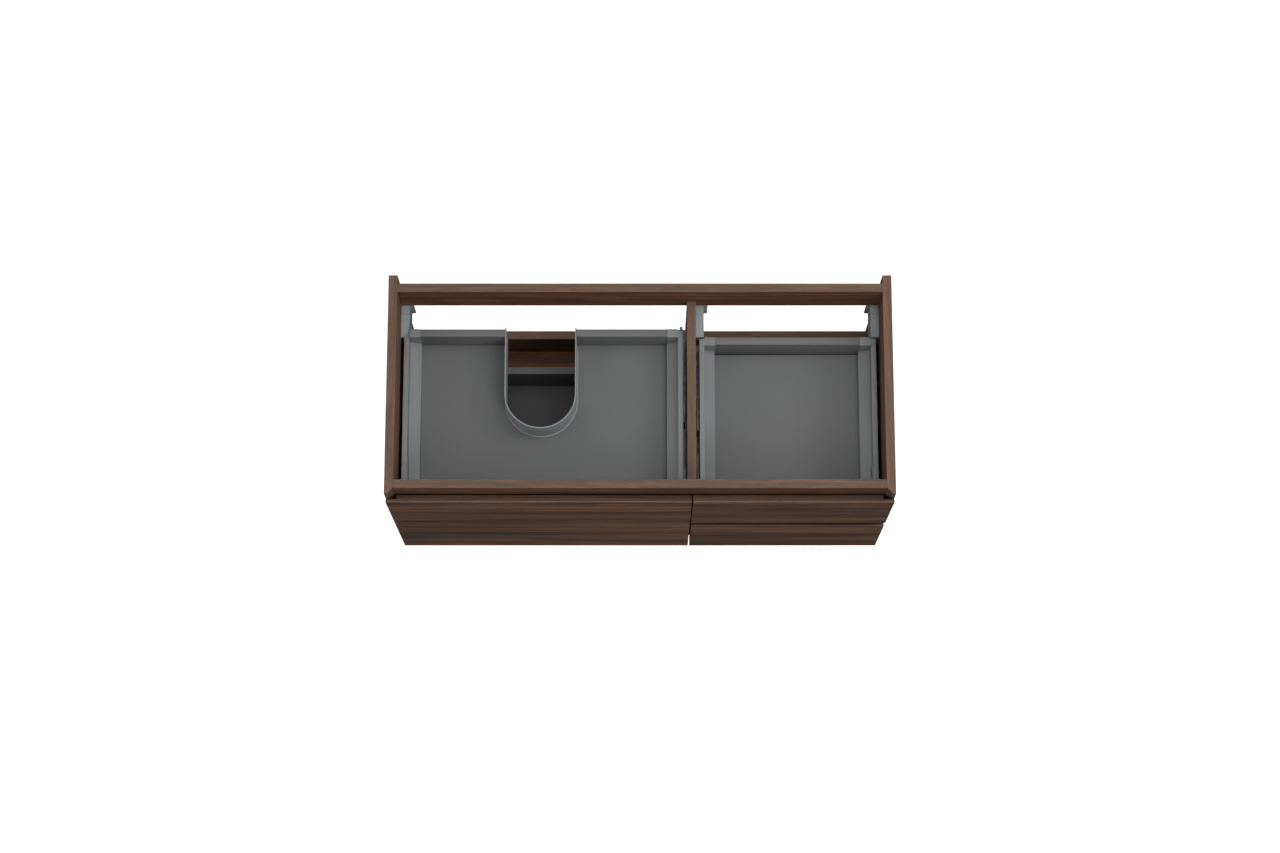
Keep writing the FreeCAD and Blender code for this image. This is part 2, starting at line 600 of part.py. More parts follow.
def hanger_hooks():
    """Hook blocks: each has a wing towards the bay and a steel hook that drops over a wall rail."""
    arm = (("-hanger_seam + loose", "-hook_level"), ("-hook_air", "-hook_level"),
           ("-hook_air", "-hook_drop"), ("-hook_air - hook_plate", "-hook_drop"),
           ("-hook_air - hook_plate", "-hook_level - hook_depth"),
           ("-hanger_seam + loose", "-hook_level - hook_depth"))
    hooks = []
    for name, wall, way in HANGERS:
        tag = f"{name}_hook"
        block = box(tag + "_block", span(wall, way, "0", HANGER_WIDTH),
                    ("-hanger_seam + loose", "-hook_block_back"),
                    (f"{HANGER_TOP} - {HANGER_HEIGHT}", HANGER_TOP))
        wing = box(tag + "_wing", span(wall, way, f"{HANGER_WIDTH} / 2", f"{HANGER_WIDTH} + wing_width"),
                   ("-hook_block_back - wing_thick", "-hook_block_back"),
                   (f"{HANGER_TOP} - wing_height", HANGER_TOP))
        low = span(wall, way, f"({HANGER_WIDTH} - hook_plate) / 2", f"({HANGER_WIDTH} + hook_plate) / 2")[0]
        hook = prism(tag + "_arm", "YZ_Plane", arm, "hook_plate", (low, "0", HANGER_TOP))
        hooks.append(fuse(tag, [block, wing, hook]))
    return keep(group("hanger_hooks", hooks))


# Assembly -----------------------------------------------------------------------------

def side_panel(label, way, tools):
    """A side panel: the inner corner of its front edge is bevelled at 45 degrees."""
    outline = ends(way, (("overall_width / 2", "0"), (INSIDE, "0"),
                         (INSIDE, "board - edge_flat - side_depth"),
                         ("overall_width / 2 - edge_flat", "-side_depth"),
                         ("overall_width / 2", "-side_depth")))
    blank = prism(label + "_blank", "XY_Plane", outline, "side_height", ("0", "0", "-side_height"))
    keep(cut(label, blank, tools))


def carcass(tools):
    inner = (f"-{INSIDE}", INSIDE)
    side_panel("left_side_panel", -1, tools)
    side_panel("right_side_panel", 1, tools)
    boards = (
        ("partition_panel", (PART_LEFT, PART_RIGHT), (RAIL_FACE, BACK_FACE), (FLOOR, "-front_rail_height")),
        ("front_top_rail", inner, (RAIL_FACE, f"{RAIL_FACE} + board"), ("-front_rail_height", "0")),
        ("back_top_rail", inner, (BACK_FACE, BACK_REAR), ("-back_rail_height", "0")),
        ("back_bottom_rail", inner, (BACK_FACE, BACK_REAR), (FLOOR, f"{FLOOR} + back_foot_height")),
        ("bottom_panel", inner, (RAIL_FACE, BACK_REAR), (f"{FLOOR} - board", FLOOR)))
    for label, x, y, z in boards:
        keep(cut(label, box(label + "_blank", x, y, z), tools))


def build():
    dowels = carcass_dowels()
    cams, bolts = carcass_cams()
    fasteners = [dowels, cams, bolts]
    runners = (("inner", LEFT_BAY, UPPER_RUNNER, f"({FRONT_BACK} + runner_front + {INNER_SETBACK})"),
               ("left", LEFT_BAY, LOWER_RUNNER, f"({FRONT_BACK} + runner_front)"),
               ("upper", RIGHT_BAY, UPPER_RUNNER, f"({FRONT_BACK} + runner_front)"),
               ("lower", RIGHT_BAY, LOWER_RUNNER, f"({FRONT_BACK} + runner_front)"))
    all_screws = []
    for name, bay, level, front in runners:
        screws = runner_screws(name, bay, level, front)
        all_screws += screws
        cabinet_rails(name, bay, level, front, screws)
        middle_rails(name, bay, level, front)
    fasteners.append(keep(group("runner_screws", all_screws)))
    carcass(group("board_holes", fasteners))

    inner_drawer()
    fronted_drawer("left_drawer", LEFT_BAY, LOWER_RUNNER, "high_side")
    fronted_drawer("upper_drawer", RIGHT_BAY, UPPER_RUNNER, "low_side")
    fronted_drawer("lower_drawer", RIGHT_BAY, LOWER_RUNNER, "high_side")

    left_front = ("-overall_width / 2", "partition_centre - front_joint / 2")
    right_front = ("partition_centre + front_joint / 2", "overall_width / 2")
    front_panel("left_drawer_front", left_front, FRONT_TOP, FRONT_FOOT, "left")
    front_panel("upper_drawer_front", right_front, FRONT_TOP, UPPER_FOOT, "right")
    front_panel("lower_drawer_front", right_front, f"{UPPER_FOOT} - grip_gap", FRONT_FOOT, "right")

    screws = hanger_screws()
    hanger_housings(screws)
    hanger_hooks()


def check_and_export():
    doc.recompute()
    for item in doc.Objects:
        if "Invalid" in item.State or "Error" in item.State:
            raise RuntimeError(f"{item.Label}: {item.State}")
    for piece in parts:
        if piece.Shape.isNull() or not piece.Shape.isValid() or not piece.Shape.Solids:
            raise RuntimeError(f"{piece.Label} has no valid solid")
    os.makedirs("parts", exist_ok=True)
    for piece in parts:
        piece.Shape.exportStep(f"parts/{piece.Label}.step")
    print(len(parts), "nodes,", sum(len(piece.Shape.Solids) for piece in parts), "solids")


build()
check_and_export()
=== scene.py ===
import json
import math

import bmesh
import bpy
from mathutils import Matrix, Vector

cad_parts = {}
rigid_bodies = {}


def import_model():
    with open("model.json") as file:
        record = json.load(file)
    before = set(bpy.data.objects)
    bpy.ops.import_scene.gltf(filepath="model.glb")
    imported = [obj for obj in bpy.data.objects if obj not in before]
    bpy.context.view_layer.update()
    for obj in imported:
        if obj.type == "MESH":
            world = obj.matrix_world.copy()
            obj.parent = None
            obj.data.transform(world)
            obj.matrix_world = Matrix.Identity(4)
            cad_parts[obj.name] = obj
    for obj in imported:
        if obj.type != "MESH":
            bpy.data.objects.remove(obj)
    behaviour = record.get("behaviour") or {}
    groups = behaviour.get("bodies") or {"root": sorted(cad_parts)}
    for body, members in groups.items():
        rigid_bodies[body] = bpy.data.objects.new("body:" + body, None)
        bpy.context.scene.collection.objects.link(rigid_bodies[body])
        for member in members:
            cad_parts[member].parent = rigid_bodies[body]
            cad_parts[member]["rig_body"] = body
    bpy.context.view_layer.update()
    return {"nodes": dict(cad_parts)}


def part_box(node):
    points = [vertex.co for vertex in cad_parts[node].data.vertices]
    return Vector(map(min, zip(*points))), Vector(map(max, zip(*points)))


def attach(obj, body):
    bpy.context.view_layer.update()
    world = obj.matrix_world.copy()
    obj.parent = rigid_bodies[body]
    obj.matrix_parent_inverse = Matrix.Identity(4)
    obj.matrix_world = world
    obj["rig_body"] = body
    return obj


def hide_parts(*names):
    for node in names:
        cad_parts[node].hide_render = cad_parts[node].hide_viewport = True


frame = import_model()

bl_info = {
    "name": "Bathroom vanity cabinet",
    "version": (1, 0, 0),
    "blender": (4, 5, 0),
    "location": "3D View > Sidebar > Vanity",
    "description": "Builds the finished pieces of a wall-hung vanity cabinet round its packed frame",
    "category": "Object",
}

MM = 0.001
DRAWERS = ("inner", "left", "upper", "lower")


def linear(code):
    """An sRGB hex colour as linear RGBA."""
    channels = [int(code[i:i + 2], 16) / 255 for i in (1, 3, 5)]
    return [c / 12.92 if c <= 0.04045 else ((c + 0.055) / 1.055) ** 2.4 for c in channels] + [1.0]


def colour(name, description, code):
    """A colour property, given as a hex colour."""
    return bpy.props.FloatVectorProperty(
        name=name, description=description, default=linear(code), size=4, min=0, max=1, subtype="COLOR")


def number(name, description, value, **kind):
    """A number property."""
    return bpy.props.FloatProperty(name=name, description=description, default=value, **kind)


def length(name, description, millimetres):
    """A length property, given in millimetres."""
    return number(name, description, millimetres * MM, min=0, unit="LENGTH", precision=5)


class VanitySizes(bpy.types.PropertyGroup):
    """Sizes of the details that finish the frame."""
    board_round: length("Board edge", "Rounding of a veneered or coated board's edges", 0.6)
    front_round: length("Front edge", "Rounding of a drawer front's edges", 0.4)
    sheet_round: length("Sheet bend", "Rounding of a sheet metal piece's bends", 0.5)
    moulded_round: length("Moulded edge", "Rounding of moulded and cast pieces", 0.4)
    panel_flat: length("Panel edge flat", "Square part of a side panel's front edge", 4)
    cam_seat: length("Cam seat", "Cam discs below the board's surface", 0.25)
    collar_round: length("Collar rim", "Rounding of the siphon collar's rim", 0.5)
    rail_sheet: length("Rail sheet", "Sheet of the runner members", 1.5)
    slot_long: length("Slot length", "Oblong hole in a cabinet rail", 9)
    slot_wide: length("Slot width", "Oblong hole in a cabinet rail", 4.2)
    slot_pitch: length("Slot pitch", "One oblong hole to the next", 32)
    roller_round: length("Roller edge", "Rounding of a bearing roller's ends", 0.4)
    recess_wide: length("Recess width", "One arm of a cross recess", 1.1)
    back_gap: length("Gap at the back", "Open joint in front of the upper drawer's back", 3.2)
    back_gap_deep: length("Gap depth", "Depth of that joint", 14)


class VanityFinishes(bpy.types.PropertyGroup):
    """Colours and figure of the surfaces."""
    walnut_dark: colour("Walnut, late wood", "Darkest streaks of the walnut veneer", "#533d30")
    walnut_mid: colour("Walnut", "Main colour of the walnut veneer", "#775846")
    walnut_light: colour("Walnut, early wood", "Lightest streaks of the walnut veneer", "#967058")
    board_dark: colour("Inner walnut, dark", "Darkest streaks of the inner boards", "#503727")
    board_mid: colour("Inner walnut", "Main colour of the inner boards", "#714a32")
    board_light: colour("Inner walnut, light", "Lightest streaks of the inner boards", "#926748")
    band_dark: colour("Edge band, dark", "Darkest streaks of the edge band", "#6a5548")
    band_mid: colour("Edge band", "Main colour of the edge band", "#7b604f")
    band_light: colour("Edge band, light", "Lightest streaks of the edge band", "#8b6f5e")
    walnut_red: colour("Walnut, red streaks", "Thin warm streaks of the walnut veneer", "#b97f58")
    walnut_pore: colour("Walnut pores", "Open pores of the walnut veneer", "#3a2b22")
    board_grey: colour("Grey board", "Melamine on drawer bottoms and backs", "#787979")
    side_grey: colour("Drawer sides", "Powder coat on the drawer sides", "#8f9293")
    fitting_grey: colour("Fittings", "Corner brackets and caps", "#888b8c")
    collar_grey: colour("Collar", "Powder coat on the siphon collar", "#9aa1a3")
    hanger_grey: colour("Hangers", "Wall hangers", "#a0a7a9")
    rail_steel: colour("Runner steel", "Galvanised runner members", "#a3a6a8")
    roller_steel: colour("Rollers", "Hardened bearing rollers", "#a3a6a8")
    zinc: colour("Zinc", "Cast cams and fixings", "#a7a9a8")
    screw_steel: colour("Screws", "Zinc-plated screws", "#b4b4ae")
    beech: colour("Beech", "Dowels", "#c79f70")
    floor_white: colour("Floor", "Floor", "#f4f4f4")
    figure_long: length("Figure length", "Length of a streak along the grain", 850)
    figure_wide: length("Figure width", "Width of a streak across the grain", 42)
    flame_long: length("Flame length", "Length of a flame along the grain", 120)
    flame_wide: length("Flame width", "Width of a flame across the grain", 8)
    fibre_long: length("Fibre length", "Length of a fibre along the grain", 30)
    fibre_wide: length("Fibre width", "Width of a fibre across the grain", 1.6)


class VanityStudio(bpy.types.PropertyGroup):
    """Floor, lights and camera."""
    floor_drop: length("Floor", "Floor below the cabinet's top edge", 860)
    floor_size: length("Floor size", "Radius of the floor", 60000)
    floor_glow: number("Floor glow", "Light of the floor itself, as on a light table", 0.95)
    camera_height: length("Camera height", "Camera above the cabinet's top edge", 5098.6)
    camera_fore: length("Camera distance", "Camera in front of the wall plane", 1516.0)
    camera_tilt: number("Camera tilt", "View direction off straight down", math.radians(13.315),
                        subtype="ANGLE")
    camera_lens: number("Lens", "Focal length", 75.1, unit="CAMERA")
    top_power: number("Top light", "Large soft box overhead", 40, unit="POWER")
    key_power: number("Key light", "Soft box at the right", 28, unit="POWER")
    fill_power: number("Fill light", "Soft box in front, on the right", 28, unit="POWER")
    side_power: number("Side light", "Soft box far at the left", 12, unit="POWER")
    dome_strength: number("Dome", "Even light from above", 0.25)
    under_strength: number("Underlight", "Even light from below the horizon", 0.10)


def sizes():
    """The sizes in use."""
    return bpy.context.scene.vanity_sizes


def finishes():
    """The colours and figure in use."""
    return bpy.context.scene.vanity_finishes


# Node trees ----

def add(tree, kind, inputs=None, **settings):
    """Add a node with its settings. An input gets a value, a socket, a node (its first output in
    use) or a list of them."""
    node = tree.nodes.new(kind)
    for name, value in settings.items():
        setattr(node, name, value)
    for name, given in (inputs or {}).items():
        for value in given if isinstance(given, list) else [given]:
            if isinstance(value, bpy.types.Node):
                value = next(s for s in value.outputs if s.enabled)
            if isinstance(value, bpy.types.NodeSocket):
                tree.links.new(value, node.inputs[name])
            else:
                node.inputs[name].default_value = value
    return node


def new_material(name, **constants):
    """A material with a Principled shader, the shader's constants, and its Object coordinates."""
    material = bpy.data.materials.new(name)
    material.use_nodes = True
    tree = material.node_tree
    tree.nodes.clear()
    shader = add(tree, "ShaderNodeBsdfPrincipled", {k.replace("_", " "): v for k, v in constants.items()})
    add(tree, "ShaderNodeOutputMaterial", {"Surface": shader})
    return material, tree, shader, add(tree, "ShaderNodeTexCoord").outputs["Object"]


def finish_surface(tree, shader, colour=None, roughness=None, height=None, depth=0.00005, strength=0.5):
    """Link a pattern's colour, its roughness (pattern, least, most) and its relief to the shader."""
    if colour:
        tree.links.new(colour, shader.inputs["Base Color"])
    if roughness:
        pattern, least, most = roughness
        spread = add(tree, "ShaderNodeMapRange", {"Value": pattern, "From Min": 0.3, "From Max": 0.7,
                                                  "To Min": least, "To Max": most})
        tree.links.new(spread.outputs[0], shader.inputs["Roughness"])
    if height:
        relief = add(tree, "ShaderNodeBump", {"Height": height, "Distance": depth, "Strength": strength})
        tree.links.new(relief.outputs[0], shader.inputs["Normal"])


def two_tone(tree, pattern, base, shade, most):
    """The base colour, darkened to a share of itself where the pattern is strong."""
    share = add(tree, "ShaderNodeMapRange", {"Value": pattern, "From Min": 0.3, "From Max": 0.7,
                                             "To Min": 0.0, "To Max": most})
    dark = (*(channel * shade for channel in base[:3]), 1.0)
    return add(tree, "ShaderNodeMix", {0: share, 6: tuple(base), 7: dark}, data_type="RGBA").outputs[2]


def walnut_veneer(name, grain, shift, straight, tones="walnut"):
    """American walnut veneer, sliced and dead-matt lacquered: long streaks, small flames and thin
    warm lines along the grain, fine fibres with open pores, and hardly any sheen. The straighter
    the cut, the more the long streaks show over the flames."""
    look = finishes()
    material, tree, shader, where = new_material(name, IOR=1.48)
    axis = "XYZ".index(grain)
    moved = add(tree, "ShaderNodeMapping", {"Vector": where, "Location": shift})

    # noise drawn out along the grain: a strand's length and width, detail and roughness. The grain
    # wanders 10 mm to and fro over about 300 mm; only the pores stay straight, 0.3 mm wide but drawn
    # 0.6 mm wide so that they show.
    strands, source = {}, moved
    for part, long, wide, detail, rough in (
            ("pores", 0.009, 0.0006, 1.0, 0.5), ("wander", 0.30, 0.11, 1.0, 0.5),
            ("streaks", look.figure_long, look.figure_wide, 5.0, 0.6),
            ("flames", look.flame_long, look.flame_wide, 3.0, 0.6), ("field", 0.95, 0.075, 1.5, 0.4),
            ("warm", look.figure_long * 1.6, look.figure_wide * 0.24, 2.0, 0.5),
            ("fibres", look.fibre_long, look.fibre_wide, 3.0, 0.65)):
        scale = tuple(1 / (long if i == axis else wide) for i in range(3))
        drawn = add(tree, "ShaderNodeMapping", {"Vector": source, "Scale": scale})
        strands[part] = add(tree, "ShaderNodeTexNoise", {"Vector": drawn, "Scale": 1.0, "Detail": detail,
                                                         "Roughness": rough})
        if part == "wander":
            source = add(tree, "ShaderNodeVectorMath", {
                0: strands[part].outputs["Color"], 1: (0.02,) * 3, 2: moved}, operation="MULTIPLY_ADD")
    # contour lines of a slow field, about 6 mm apart, stand for the annual rings
    rings = add(tree, "ShaderNodeMath", {0: add(tree, "ShaderNodeMath", {0: strands["field"], 1: 62.0},
                                                operation="MULTIPLY")}, operation="SINE")
    figure = add(tree, "ShaderNodeMath", {0: rings, 1: 0.03, 2: add(
        tree, "ShaderNodeMix", {0: straight, 2: strands["flames"], 3: strands["streaks"]})},
        operation="MULTIPLY_ADD")
    ramp = add(tree, "ShaderNodeValToRGB", {"Fac": figure})
    stops = ramp.color_ramp.elements
    spread = 0.24 - 0.12 * straight
    stops[0].position, stops[0].color = 0.5 - spread, getattr(look, tones + "_dark")
    stops[1].position, stops[1].color = 0.5 + spread, getattr(look, tones + "_light")
    stops.new(0.50).color = getattr(look, tones + "_mid")
    # over it few thin warm lines as long as the streaks, the fibres and the open pores
    tone = ramp
    for part, first, last, start, end, shade in (
            ("warm", 0.53, 0.66, 0.0, 0.95 * straight, look.walnut_red),
            ("fibres", 0.3, 0.7, 0.34, 0.0, look.walnut_pore),
            ("pores", 0.60, 0.70, 0.0, 0.5, look.walnut_pore)):
        share = add(tree, "ShaderNodeMapRange", {
            "Value": strands[part], "From Min": first, "From Max": last, "To Min": start, "To Max": end})
        tone = add(tree, "ShaderNodeMix", {0: share, 6: tone, 7: tuple(shade)}, data_type="RGBA")
    relief = add(tree, "ShaderNodeMath", {0: strands["fibres"], 1: share}, operation="SUBTRACT")
    finish_surface(tree, shader, tone.outputs[2], (strands["fibres"].outputs[0], 0.66, 0.76),
                   relief.outputs[0], 0.00006, 0.6)
    return material


def band_edges(piece, thickness):
    """Edge band on a board's narrow faces, with its grain along each face."""
    mesh = piece.data
    for grain in "XYZ":
        name = f"walnut edge band along {grain}"
        mesh.materials.append(bpy.data.materials.get(name)
                              or walnut_veneer(name, grain, (0.4, 0.7, 0.2), 0.2, "band"))
    for face in mesh.polygons:
        if abs(face.normal["XYZ".index(thickness)]) < 0.9:
            spans = [max(c) - min(c) for c in zip(*(mesh.vertices[v].co for v in face.vertices))]
            face.material_index = 1 + spans.index(max(spans))


def melamine(name, base):
    """Melamine-faced chipboard, pressed with a fine pearl: an even grey with tiny soft dimples."""
    material, tree, shader, where = new_material(name, IOR=1.5, Specular_IOR_Level=0.35)
    cloud = add(tree, "ShaderNodeTexNoise", {"Vector": where, "Scale": 1 / 0.12})
    # the pearl is 0.4 mm, drawn 1.1 mm so that it shows
    pearl = add(tree, "ShaderNodeTexNoise", {"Vector": where, "Scale": 1 / 0.0011, "Roughness": 0.6})
    mottle = add(tree, "ShaderNodeMix", {0: 0.6, 2: cloud, 3: pearl})
    finish_surface(tree, shader, two_tone(tree, mottle, base, 0.8, 0.22), (pearl.outputs[0], 0.50, 0.60),
                   pearl.outputs[0])
    return material


def powder_coat(name, base):
    """Powder-coated sheet steel: a hard silky paint with the faint orange peel of a baked powder."""
    material, tree, shader, where = new_material(name, IOR=1.52, Specular_IOR_Level=0.45)
    peel = add(tree, "ShaderNodeTexNoise", {"Vector": where, "Scale": 1 / 0.0016, "Detail": 1.5})
    cloud = add(tree, "ShaderNodeTexNoise", {"Vector": where, "Scale": 1 / 0.09})
    finish_surface(tree, shader, two_tone(tree, cloud, base, 0.85, 0.14), (cloud.outputs[0], 0.42, 0.51),
                   peel.outputs[0], 0.00004, 0.6)
    return material


def moulded_plastic(name, base):
    """ABS, injection moulded with a fine spark texture: dull, with a slight graininess."""
    material, tree, shader, where = new_material(name, IOR=1.54, Specular_IOR_Level=0.4)
    grit = add(tree, "ShaderNodeTexNoise", {"Vector": where, "Scale": 1 / 0.0006, "Roughness": 0.6})
    finish_surface(tree, shader, two_tone(tree, grit, base, 0.8, 0.14), (grit.outputs[0], 0.50, 0.62),
                   grit.outputs[0])
    return material


def galvanised_steel(name, base):
    """Hot-dip galvanised sheet: crystals about 7 mm wide that each shine a little differently."""
    material, tree, shader, where = new_material(name, Metallic=0.85)
    spangle = add(tree, "ShaderNodeTexVoronoi", {"Vector": where, "Scale": 1 / 0.007})
    tone = add(tree, "ShaderNodeSeparateColor", {"Color": spangle.outputs["Color"]})
    drawn = add(tree, "ShaderNodeMapping", {"Vector": where, "Scale": (1250, 20, 1250)})
    scratch = add(tree, "ShaderNodeTexNoise", {"Vector": drawn, "Scale": 1.0})
    uneven = add(tree, "ShaderNodeMix", {0: 0.4, 2: tone, 3: scratch})
    finish_surface(tree, shader, two_tone(tree, tone, base, 0.75, 0.4), (uneven.outputs[0], 0.42, 0.58),
                   scratch.outputs[0], 0.00002, 0.4)
    return material


def cast_zinc(name, base):
    """Zinc, die cast or plated, tumbled: grey metal with a soft, slightly cloudy skin."""
    material, tree, shader, where = new_material(name, Metallic=1.0)
    cloud = add(tree, "ShaderNodeTexNoise", {"Vector": where, "Scale": 1 / 0.004, "Detail": 3.0,
                                             "Roughness": 0.6})
    finish_surface(tree, shader, two_tone(tree, cloud, base, 0.75, 0.3), (cloud.outputs[0], 0.38, 0.54),
                   cloud.outputs[0], 0.00004, 0.4)
    return material


def turned_beech(name, base):
    """Beech rod: pale wood with short darker flecks along its length."""
    material, tree, shader, where = new_material(name, Roughness=0.7)
    drawn = add(tree, "ShaderNodeMapping", {"Vector": where, "Scale": (1 / 0.006, 1 / 0.0012, 1 / 0.0012)})
    flecks = add(tree, "ShaderNodeTexNoise", {"Vector": drawn, "Scale": 1.0, "Detail": 3.0})
    finish_surface(tree, shader, two_tone(tree, flecks, base, 0.6, 0.4), None, flecks.outputs[0], 0.0001)
    return material


def studio_white(name, base, glow):
    """Opal acrylic floor, lit from below: an even white that hides soft shadows."""
    material, tree, shader, where = new_material(name, Roughness=0.9, Specular_IOR_Level=0.1,
                                                 Emission_Strength=glow)
    shader.inputs["Emission Color"].default_value = base
    cloud = add(tree, "ShaderNodeTexNoise", {"Vector": where, "Scale": 1 / 0.6})
    finish_surface(tree, shader, two_tone(tree, cloud, base, 0.9, 0.03))
    return material


PLAIN_FINISHES = {
    "drawer_board": (melamine, "board_grey", "melamine faced board"),
    "drawer_metal": (powder_coat, "side_grey", "powder coated steel"),
    "bracket_metal": (powder_coat, "fitting_grey", "powder coated bracket"),
    "cap_plastic": (moulded_plastic, "fitting_grey", "moulded cap plastic"),
    "runner_steel": (galvanised_steel, "rail_steel", "galvanised steel"),
    "hanger_metal": (powder_coat, "hanger_grey", "coated zinc casting"),
    "zinc": (cast_zinc, "zinc", "tumbled zinc"),
    "screw_steel": (cast_zinc, "screw_steel", "zinc plated steel"),
    "roller": (cast_zinc, "roller_steel", "hardened roller steel"),
    "beech": (turned_beech, "beech", "beech rod"),
}


def finish_for(slot_name):
    """The material of a slot, made when it is first asked for."""
    make, colour_name, name = PLAIN_FINISHES[slot_name]
    return bpy.data.materials.get(name) or make(name, getattr(finishes(), colour_name))


# Meshes ----

def new_object(name, data):
    """An object at the origin, linked to the scene."""
    item = bpy.data.objects.new(name, data)
    bpy.context.scene.collection.objects.link(item)
    return item


def mesh_object(name, bm, material):
    """A finished mesh as an object."""
    bmesh.ops.recalc_face_normals(bm, faces=bm.faces)
    mesh = bpy.data.meshes.new(name)
    bm.to_mesh(mesh)
    bm.free()
    mesh.materials.append(material)
    return new_object(name, mesh)


def round_edges(piece, width, segments=3, angle=32):
    """Live rounding of the crisp edges, with flat faces kept flat."""
    bevel = piece.modifiers.new("rounded edges", "BEVEL")
    bevel.width = width
    bevel.segments = segments
    bevel.limit_method = "ANGLE"
    bevel.angle_limit = math.radians(angle)
    bevel.harden_normals = True
    piece.data.shade_smooth()
    return piece


def claim(piece, node):
    """The piece stands for its CAD node, which it hides, and rides on its body."""
    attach(piece, frame["nodes"][node]["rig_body"])
    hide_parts(node)


def clean_copy(node):
    """A node's mesh with its triangles joined and its flat faces in one piece each."""
    bm = bmesh.new()
    bm.from_mesh(frame["nodes"][node].data)
    bmesh.ops.remove_doubles(bm, verts=bm.verts, dist=1e-6)
    bmesh.ops.dissolve_limit(bm, angle_limit=math.radians(1), verts=bm.verts, edges=bm.edges)
    return bm


def finish_copy(node, ending, slot_name, width):
    """A node's own shape with rounded edges and its slot's finish."""
    piece = mesh_object(node + ending, clean_copy(node), finish_for(slot_name))
    claim(round_edges(piece, width), node)


def lumps(node):
    """(lowest corner, highest corner) of each separate solid of a node, from low to high x."""
    bm = bmesh.new()
    bm.from_mesh(frame["nodes"][node].data)
    bmesh.ops.remove_doubles(bm, verts=bm.verts, dist=1e-6)
    todo, boxes = set(bm.verts), []
    while todo:
        edge, found = [todo.pop()], []
        while edge:
            vertex = edge.pop()
            found.append(vertex.co)
            for link in vertex.link_edges:
                other = link.other_vert(vertex)
                if other in todo:
                    todo.remove(other)
                    edge.append(other)
        boxes.append((Vector([min(c[i] for c in found) for i in range(3)]),
                      Vector([max(c[i] for c in found) for i in range(3)])))
    bm.free()
    return sorted(boxes, key=lambda b: tuple(round(c, 5) for c in b[0]))


def add_box(bm, low, high):
    """A box between two corners."""
    low, high = Vector(low), Vector(high)
    place = Matrix.Translation((low + high) / 2) @ Matrix.Diagonal((*(high - low), 1))
    bmesh.ops.create_cube(bm, size=1.0, matrix=place)


def add_prism(bm, outline, axis, low, high):
    """An outline carried along an axis. Its points lie in the other two axes, in X, Y, Z order."""
    rings = []
    for value in (low, high):
        ring = []
        for point in outline:
            co = list(point)
            co.insert("XYZ".index(axis), value)
            ring.append(bm.verts.new(co))
        bm.faces.new(ring)
        rings.append(ring)
    first, last = rings
    for i in range(len(outline)):
        bm.faces.new((first[i - 1], first[i], last[i], last[i - 1]))


def add_cylinder(bm, axis, centre, low, high, radius, steps=32):
    """A cylinder along an axis between two heights; centre is in the other two axes."""
    turns = [math.tau * i / steps for i in range(steps)]
    add_prism(bm, [(centre[0] + radius * math.cos(turn), centre[1] + radius * math.sin(turn))
                   for turn in turns], axis, low, high)


def drill(piece, cutters):
    """Cut a mesh of closed cutters out of a piece."""
    tool = mesh_object("drill", cutters, piece.data.materials[0])
    hole = piece.modifiers.new("holes", "BOOLEAN")
    hole.operation = "DIFFERENCE"
    hole.solver = "EXACT"
    hole.object = tool
    plain(piece)
    bpy.data.objects.remove(tool)
    return piece


def plain(piece):
    """Turn an object with modifiers into a plain mesh."""
    graph = bpy.context.evaluated_depsgraph_get()
    mesh = bpy.data.meshes.new_from_object(piece.evaluated_get(graph), preserve_all_data_layers=True,
                                           depsgraph=graph)
    piece.modifiers.clear()
    old, piece.data = piece.data, mesh
    bpy.data.meshes.remove(old)
    return piece


# Geometry node trees ----

def new_tree(name, inputs):
    """A geometry tree with named inputs; returns the tree and its input node's outputs."""
    tree = bpy.data.node_groups.new(name, "GeometryNodeTree")
    tree.interface.new_socket("Geometry", in_out="INPUT", socket_type="NodeSocketGeometry")
    for label, kind, default in inputs + (("Material", "NodeSocketMaterial", None),):
        socket = tree.interface.new_socket(label, in_out="INPUT", socket_type=kind)
        if default is not None:
            socket.default_value = default
    tree.interface.new_socket("Geometry", in_out="OUTPUT", socket_type="NodeSocketGeometry")
    return tree, tree.nodes.new("NodeGroupInput").outputs


def close_tree(tree, given, geometry):
    """Realize the instances and set the material at the end of a tree."""
    solid = add(tree, "GeometryNodeRealizeInstances", {"Geometry": geometry})
    painted = add(tree, "GeometryNodeSetMaterial", {"Geometry": solid, "Material": given["Material"]})
    add(tree, "NodeGroupOutput", {0: painted})


def run_tree(piece, tree, values):
    """Put a tree on an object, set its inputs by their identifiers and keep the result."""
    modifier = piece.modifiers.new(tree.name, "NODES")
    modifier.node_group = tree
    for item in tree.interface.items_tree:
        if item.item_type == "SOCKET" and item.in_out == "INPUT" and item.name in values:
            modifier[item.identifier] = values[item.name]
    return plain(piece)


